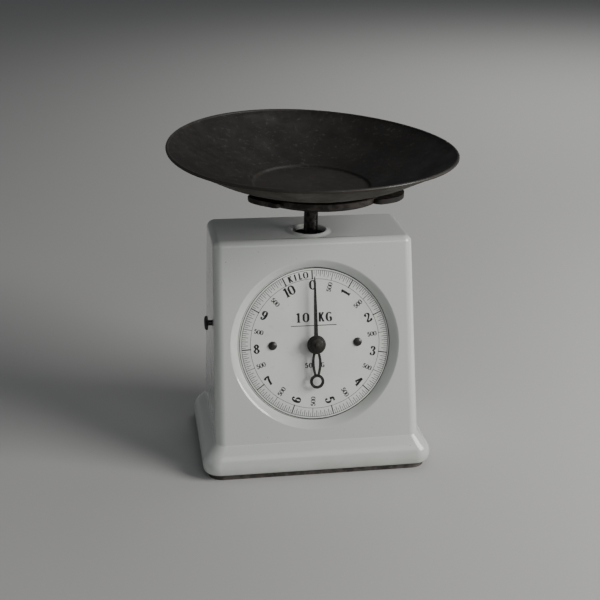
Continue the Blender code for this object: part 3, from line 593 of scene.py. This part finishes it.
# Each stroke is a kind and its points, on a letter 1 high: o a closed curve, c an open curve,
# s a pen stroke, b a bar of even width, d a dot.
GLYPHS = {
    "0": [("o", [(0.25, 0.5), (0.22, 0.8), (0, 0.97), (-0.22, 0.8), (-0.25, 0.5), (-0.22, 0.2),
                 (0, 0.03), (0.22, 0.2)])],
    "1": [("s", [(0.03, 1), (0.03, 0)]), ("s", [(0.03, 0.97), (-0.17, 0.82)]),
          ("s", [(-0.16, 0.02), (0.22, 0.02)])],
    "2": [("c", [(-0.19, 0.72), (-0.17, 0.88), (0, 0.97), (0.18, 0.87), (0.19, 0.68), (0.05, 0.45),
                 (-0.13, 0.25), (-0.22, 0.07)]),
          ("b", [(-0.22, 0.07), (0.23, 0.07)]), ("s", [(0.23, 0.04), (0.26, 0.27)]), ("d", [(-0.16, 0.74)])],
    "3": [("c", [(-0.17, 0.8), (-0.08, 0.95), (0.08, 0.94), (0.17, 0.78), (0.11, 0.6), (-0.04, 0.53)]),
          ("c", [(-0.04, 0.53), (0.14, 0.46), (0.21, 0.26), (0.09, 0.05), (-0.09, 0.04), (-0.2, 0.17)]),
          ("d", [(-0.15, 0.78)]), ("d", [(-0.17, 0.2)])],
    "4": [("s", [(0.09, 1), (0.09, 0)]), ("s", [(0.07, 0.98), (-0.26, 0.3)]),
          ("s", [(-0.26, 0.29), (0.27, 0.29)]), ("s", [(-0.06, 0.02), (0.24, 0.02)])],
    "5": [("b", [(-0.15, 0.93), (0.19, 0.93)]), ("s", [(-0.15, 0.95), (-0.17, 0.52)]),
          ("c", [(-0.17, 0.52), (0, 0.62), (0.18, 0.5), (0.2, 0.25), (0.06, 0.04), (-0.11, 0.04),
                 (-0.2, 0.17)]), ("d", [(-0.16, 0.19)])],
    "6": [("c", [(0.17, 0.85), (0.03, 0.97), (-0.14, 0.8), (-0.21, 0.45), (-0.14, 0.11), (0.01, 0.03),
                 (0.16, 0.13), (0.2, 0.31), (0.13, 0.5), (0, 0.57), (-0.12, 0.49), (-0.19, 0.36)]),
          ("d", [(0.14, 0.82)])],
    "7": [("b", [(-0.21, 0.92), (0.23, 0.92)]), ("s", [(0.22, 0.93), (0.04, 0.5)]),
          ("s", [(0.05, 0.52), (-0.03, 0)]), ("s", [(-0.2, 0.96), (-0.22, 0.74)])],
    "8": [("o", [(0.17, 0.74), (0, 0.97), (-0.17, 0.74), (0, 0.51)]),
          ("o", [(0.21, 0.27), (0, 0.53), (-0.21, 0.27), (0, 0.03)])],
    "K": [("s", [(-0.17, 1), (-0.17, 0)]), ("s", [(0.2, 1), (-0.12, 0.45)]),
          ("s", [(-0.05, 0.58), (0.23, 0)])],
    "I": [("s", [(0, 1), (0, 0)])],
    "L": [("s", [(-0.15, 1), (-0.15, 0)]), ("b", [(-0.2, 0.06), (0.2, 0.06)])],
    "O": [("o", [(0.29, 0.5), (0.24, 0.82), (0, 0.97), (-0.24, 0.82), (-0.29, 0.5), (-0.24, 0.18),
                 (0, 0.03), (0.24, 0.18)])],
    "G": [("c", [(0.2, 0.82), (0.05, 0.97), (-0.16, 0.86), (-0.25, 0.5), (-0.16, 0.14), (0.05, 0.03),
                 (0.2, 0.14), (0.21, 0.42)]), ("b", [(0.05, 0.44), (0.27, 0.44)])],
}


def glyph_strokes(character):
    """The strokes of one character; the 9 is a 6 turned half way round."""
    if character == "9":
        return [(kind, [(-x, 1 - y) for x, y in points]) for kind, points in GLYPHS["6"]]
    return GLYPHS[character]


def ribbon(bm, path, closed, thick, thin, to_dial):
    """A pen stroke: wide where it runs up or down the letter, thin where it runs across."""
    count = len(path)
    edges = []
    for index, point in enumerate(path):
        before = path[index - 1] if index or closed else point
        after = path[(index + 1) % count] if index < count - 1 or closed else point
        run = (after - before).normalized()
        nib = Vector((-run.y * thick / 2, run.x * thin / 2))
        edges.append((bm.verts.new(to_dial(point + nib)), bm.verts.new(to_dial(point - nib))))
    pairs = list(zip(edges, edges[1:]))
    if closed:
        pairs.append((edges[-1], edges[0]))
    for (a, b), (c, d) in pairs:
        bm.faces.new((a, b, d, c))


def letter(bm, character, centre, reading, up, height, bold):
    """One numeral, its middle at centre, on the dial's plane."""
    def to_dial(point):
        across = point.x * height
        above = (point.y - 0.5) * height
        spot = centre + reading * across + up * above
        return Vector((spot.x, spot.y, PRINT_S)) * MM

    thick, thin = (0.235, 0.07) if bold else (0.16, 0.09)
    for kind, points in glyph_strokes(character):
        if kind == "d":
            around = [Vector(points[0]) + Vector((math.cos(a), math.sin(a))) * thick * 0.42
                      for a in (math.pi * 2 * step / 10 for step in range(10))]
            bm.faces.new([bm.verts.new(to_dial(point)) for point in around])
        elif kind == "b":
            ribbon(bm, [Vector(p) for p in points], False, thick, thick * 0.7, to_dial)
        elif kind == "s":
            ribbon(bm, [Vector(p) for p in points], False, thick, thin, to_dial)
        else:
            ribbon(bm, smooth_path(points, 6, kind == "o"), kind == "o", thick, thin, to_dial)


def word(bm, text, radius, angle, height, advance, bold, way):
    """A number at an angle clockwise from the top. It reads round the dial, outwards or inwards."""
    out = Vector((math.sin(angle), math.cos(angle)))
    along = Vector((math.cos(angle), -math.sin(angle)))
    reading, up = {"round": (along, out), "outwards": (out, -along), "inwards": (-out, along)}[way]
    start = -(len(text) - 1) / 2
    for index, character in enumerate(text):
        centre = out * radius + reading * (start + index) * advance
        letter(bm, character, centre, reading, up, height, bold)


def radial_mark(bm, angle, inner, outer, width):
    out = Vector((math.sin(angle), math.cos(angle)))
    along = Vector((math.cos(angle), -math.sin(angle))) * width / 2
    corners = (out * inner - along, out * inner + along, out * outer + along, out * outer - along)
    bm.faces.new([bm.verts.new(Vector((*corner, PRINT_S)) * MM) for corner in corners])


def printed_circle(bm, radius, width, height=PRINT_S, steps=240):
    edges = []
    for step in range(steps):
        angle = 2 * math.pi * step / steps
        out = Vector((math.cos(angle), math.sin(angle), 0))
        low = bm.verts.new((out * (radius - width / 2) + Vector((0, 0, height))) * MM)
        high = bm.verts.new((out * (radius + width / 2) + Vector((0, 0, height))) * MM)
        edges.append((low, high))
    for (a, b), (c, d) in zip(edges, edges[1:] + edges[:1]):
        bm.faces.new((a, b, d, c))


def kilo_angle(kilos):
    return PRINT_TURN + math.radians(DEGREES_PER_KILO) * kilos


def unit_word(bm):
    """KILO, curved between the 10 and the 0."""
    for index, character in enumerate("KILO"):
        angle = kilo_angle(10.357) + math.radians(4.4) * (index - 1.5)
        out = Vector((math.sin(angle), math.cos(angle)))
        letter(bm, character, out * 66.2, Vector((out.y, -out.x)), out, 6.2, True)


def level_line(bm, text, y, height, advance):
    """Level print across the middle of the dial."""
    start = -(len(text) - 1) / 2
    for index, character in enumerate(text):
        if character != " ":
            centre = Vector(((start + index) * advance + HOLE_X, y))
            letter(bm, character, centre, Vector((1, 0)), Vector((0, 1)), height, True)


def rule(bm, y, length, width):
    corners = ((-length, -width), (length, -width), (length, width), (-length, width))
    spots = [Vector((HOLE_X + x / 2, y + high / 2, PRINT_S)) * MM for x, high in corners]
    bm.faces.new([bm.verts.new(spot) for spot in spots])


def make_dial(enamel, ink, faint):
    plate = [(0, 0), (60, 0), (72.3, 0), (72.75, -0.15), (72.9, -0.5), (72.9, -1.0), (0, -1.0)]
    piece("dial_face", turned(plate, 160), RECESS, enamel, "stand", ("dial_plate",), angle=60)
    dark = bmesh.new()
    light = bmesh.new()
    printed_circle(dark, TICK_R, 0.42)
    printed_circle(dark, INNER_CIRCLE_R, 0.36)
    # This dark ring at the plate's edge is partly the outer print line and partly painted shade of the gap
    # between plate and recess.
    printed_circle(dark, 72.35, 0.7, 0.02)
    for mark in range(201):
        angle = kilo_angle(mark / 20)
        if mark % 20 == 0:
            end = mark in (0, 200)
            radial_mark(dark, angle, 61.6, TICK_R, 1.2 if end else 1.0)
        elif mark % 10 == 0:
            radial_mark(dark, angle, INNER_CIRCLE_R, TICK_R, 0.5)
        elif mark % 2 == 0:
            radial_mark(light, angle, 64.6, TICK_R, 0.5)
        else:
            radial_mark(light, angle, 66.6, TICK_R, 0.42)
    for kilo in range(11):
        way = "round" if kilo in (0, 10) else ("outwards" if kilo < 6 else "inwards")
        word(dark, str(kilo), 56.4, kilo_angle(kilo), 9.1, 5.6, True, way)
        if kilo < 10:
            way = "outwards" if kilo < 5 else "inwards"
            word(light, "500", 55.6, kilo_angle(kilo + 0.5), 4.4, 3.0, True, way)
    unit_word(dark)
    level_line(dark, "10 KG", 25.5, 9.0, 7.4)
    rule(dark, 17.6, 44, 0.7)
    level_line(dark, "50  G", -20.5, 4.8, 3.9)
    for name, bm, look in (("dial_dark_print_and_edge_shade", dark, ink), ("dial_fine_print", light, faint)):
        bmesh.ops.recalc_face_normals(bm, faces=bm.faces)
        piece(name, bm, DIAL, look, "stand")


# ---------------------------------------------------------------- hand

def make_hand(look, boss):
    low, high = 5.25, 6.25
    bm = turned([(0, high), (7.4, high), (7.6, high - 0.2), (7.6, low), (0, low)], 64)
    needle = [(-1.95, 0), (1.95, 0), (1.6, 30), (0.85, 60.0),
              (0.25, 64.8), (-0.25, 64.8), (-0.85, 60.0), (-1.6, 30)]
    prism(bm, needle, low, high)
    stations = 17
    for side in (-1, 1):
        outer = []
        inner = []
        for step in range(stations):
            share = step / (stations - 1)
            bow = 1.2 + 2.2 * math.sin(math.pi * share)
            half = 1.1 + 0.15 * math.sin(math.pi * share)
            outer.append((side * (bow + half), -5 - share * 25))
            inner.append((side * (bow - half), -5 - share * 25))
        outline = outer + inner[::-1]
        prism(bm, outline if side < 0 else outline[::-1], low, high)
    ring = [(6.7, high), (6.9, high - 0.25), (6.9, low), (4.2, low), (4.2, high - 0.2), (4.4, high)]
    turned(ring, 48, bm, at(0, -35.4, 0))
    bmesh.ops.recalc_face_normals(bm, faces=bm.faces)
    piece("hand_blade", bm, DIAL, look, "pointer", ("hand",))
    cap = [(0, 10.9), (1.5, 10.8), (2.0, 10.5), (2.1, 10.1)]
    for step in range(3, 13):
        angle = step / 12 * math.pi / 2
        groove = 0.35 if step == 7 else 0
        cap.append((8.5 * math.sin(angle), 7.0 + 3.1 * math.cos(angle) - groove))
    cap += [(9.0, 6.9), (9.0, 6.6), (2.35, 6.6), (2.35, 8.6), (0, 8.6)]
    piece("hand_boss", turned(cap, 64), DIAL, boss, "pointer", ("hand_cap",), angle=25)


# ---------------------------------------------------------------- thumbscrew, rod, carrier and dish

def make_thumbscrew(look):
    teeth = 60
    bm = bmesh.new()
    turn = Matrix.Rotation(-math.pi / 2, 4, "Y")
    faces = ((3.9, 2.4, 2.4), (3.8, 4.2, 4.2), (3.4, 5.7, 5.7), (2.7, 6.65, 6.35), (0.95, 6.65, 6.35),
             (0.6, 5.9, 5.9))
    rings = []
    for height, crest, root in faces:
        ring = []
        for step in range(2 * teeth):
            radius = root if step % 2 else crest
            angle = math.pi * step / teeth
            spot = Vector((radius * math.cos(angle), radius * math.sin(angle), 100 + height)) * MM
            ring.append(bm.verts.new(turn @ spot))
        rings.append(ring)
    for upper, lower in zip(rings, rings[1:]):
        for step in range(2 * teeth):
            after = (step + 1) % (2 * teeth)
            bm.faces.new((upper[step], lower[step], lower[after], upper[after]))
    bm.faces.new(rings[0])
    bm.faces.new(rings[-1][::-1])
    stem = [(0, 101), (2.6, 101), (2.6, 85.9), (4.4, 85.9), (4.4, 83.4), (2.6, 83.4),
            (2.6, 76.7), (2.2, 76.5), (2.2, 56), (0, 56)]
    turned(stem, 32, bm, turn)
    bmesh.ops.recalc_face_normals(bm, faces=bm.faces)
    piece("zero_knob", bm, at(0, *KNOB_AT), look, "thumbscrew", ("zero_thumbscrew",))


def make_rod(look):
    profile = [(0, 255), (4.5, 255), (4.5, 249.1), (6.3, 249.1), (6.7, 248.7), (6.7, 49), (5.7, 48), (0, 48)]
    piece("rod_turned", turned(profile, 48), at(ROD_X, 0, 0), look, "rod", ("plunger_rod",))


CARRIER_X = 6.0
CARRIER_Y = -4.0
CARRIER_R = 64.5
RIGHT_LUG = ((40, -38), (48.4, -49.1), (53.6, -55), (67, -51), (75.6, -44.6),
             (81, -36), (83.2, -28), (82, -21), (76, -14), (58, -10))
LEFT_LUG = ((-34, -30), (-48, -22), (-61.4, -26.9), (-62.5, -34),
            (-58, -43), (-47, -53), (-40, -58), (-34, -50))
REAR_LUG = ((14, 50), (14, 72), (9, 80), (2, 82), (-5, 79), (-9, 72), (-9, 50))


def make_carrier(look):
    disc = [(CARRIER_R - 0.7, 263.9), (CARRIER_R, 263.3), (CARRIER_R, 258.6), (CARRIER_R - 0.5, 258.2),
            (CARRIER_R - 4.5, 258.2), (CARRIER_R - 4.7, 255.6), (14, 255.6), (14, 259.2),
            (CARRIER_R - 3, 259.2), (CARRIER_R - 2.5, 259.7), (CARRIER_R - 2.3, 263.7)]
    bm = turned(disc, 96, place=at(CARRIER_X - ROD_X, CARRIER_Y, 0))
    hub = [(14.5, 259.2), (14.5, 255.6), (12, 255.4), (11.6, 249.5), (4.85, 249.5), (4.85, 259.2)]
    turned(hub, 64, bm)
    for lug in (RIGHT_LUG, LEFT_LUG, REAR_LUG):
        shape = bmesh.new()
        outline = smooth_path([(x - ROD_X, y) for x, y in lug], 5, True)
        area = sum(a.x * b.y - b.x * a.y for a, b in zip(outline, outline[1:] + outline[:1]))
        prism(shape, outline if area > 0 else outline[::-1], 258.2, 262.8)
        rims = [edge for edge in shape.edges if abs(edge.verts[0].co.z - edge.verts[1].co.z) < 1e-6]
        bmesh.ops.bevel(shape, geom=rims, offset=0.9 * MM, segments=3, affect="EDGES", profile=0.5)
        spare = bpy.data.meshes.new("lug")
        shape.to_mesh(spare)
        shape.free()
        bm.from_mesh(spare)
        bpy.data.meshes.remove(spare)
    bmesh.ops.recalc_face_normals(bm, faces=bm.faces)
    piece("carrier_casting", bm, at(ROD_X, 0, 0), look, "rod", ("dish_carrier",))


WELL_FLOOR = -37.1
WELL_UNDERSIDE = -38.3
DISH_THICKNESS = 1.2


def bent(x, y):
    """How far the tilted and slightly twisted dish lies above its flat shape."""
    turn = 2 * (math.atan2(y, x) - math.radians(29.5))
    saddle = 2.4 * (math.hypot(x, y) / 145) ** 2 * math.cos(turn)
    return 0.036 * y - 0.011 * x - saddle


def make_dish(look):
    well = [(0, WELL_FLOOR), (30, WELL_FLOOR), (49, WELL_FLOOR), (52.5, WELL_FLOOR),
            (54.0, -36.95), (54.9, -36.3), (55.4, -35.3), (56.1, -34.7)]
    bowl = [(57.3, -34.4), (70, -30.4), (85, -25.3), (100, -19.4), (115, -11.4), (128, -4.6), (133, -1.2)]
    wall = [(point.x, point.y) for point in smooth_path(bowl, 5)]
    bead = [(134.5 + 1.5 * math.cos(a), 1.5 * math.sin(a) - 1.3) for a in
            (math.radians(150 - 30 * step) for step in range(10))]
    below = [(radius + 0.3, height - DISH_THICKNESS) for radius, height in wall[::-1] if radius < 131]
    below += [(56.8, -36.4), (55.2, -37.5), (53.4, -38.1), (51.8, WELL_UNDERSIDE),
              (30, WELL_UNDERSIDE), (0, WELL_UNDERSIDE)]
    bm = turned(well + wall + bead + below, 192)
    for vertex in bm.verts:
        vertex.co.z += bent(vertex.co.x / MM, vertex.co.y / MM) * MM
    piece("dish_spun", bm, at(1.1, -0.1, 300), look, "dish", ("dish",), angle=50)


# ---------------------------------------------------------------- what stays from the CAD model

def dress_nodes(looks):
    """Gives each carried-over node the look of its material slot."""
    slots = {part["node"]: part["material_slot"] for part in frame["record"]["subparts"]}
    for name, obj in frame["nodes"].items():
        obj.data.materials.clear()
        obj.data.materials.append(looks[slots[name]])


def main():
    make_camera()
    make_stage()
    enamel = enamel_look()
    dial_enamel = dial_look()
    black = dark_metal_look("black_lacquer", (0.012, 0.012, 0.012), (0.024, 0.023, 0.022), 0.38, 0.2, 110)
    matt = dark_metal_look("hand_black", (0.004, 0.004, 0.004), (0.010, 0.009, 0.008), 0.7, 0.0, 120)
    boss = dark_metal_look("boss_bronze", (0.008, 0.008, 0.006), (0.028, 0.026, 0.018), 0.6, 0.1, 260)
    iron = dark_metal_look("cast_iron", (0.015, 0.012, 0.010), (0.036, 0.029, 0.023), 0.6, 0.3, 60)
    base = dark_metal_look("base_paint", (0.040, 0.035, 0.031), (0.066, 0.058, 0.052), 0.45, 0.1, 40)
    rod = dark_metal_look("blackened_steel", (0.010, 0.010, 0.010), (0.03, 0.028, 0.026), 0.3, 0.9, 90)
    dish = dish_look()
    steel = brushed_look("plain_steel", (0.40, 0.40, 0.41), 0.34, (1, 1, 18))
    spring = brushed_look("spring_wire", (0.20, 0.20, 0.21), 0.3, (1, 1, 6))
    brass = brushed_look("plain_brass", (0.60, 0.43, 0.17), 0.3, (16, 1, 1))
    looks = {
        "white_enamel": enamel, "dial_enamel": dial_enamel, "black_paint": black, "cast_iron": iron,
        "worn_tin": dish, "base_paint": base, "steel": steel, "blackened_rod": rod, "spring_steel": spring,
        "brass": brass,
    }
    dress_nodes(looks)
    make_housing(enamel)
    make_dial(dial_enamel, print_look(), faint_look())
    make_hand(matt, boss)
    make_thumbscrew(black)
    make_rod(rod)
    make_carrier(iron)
    make_dish(dish)


main()
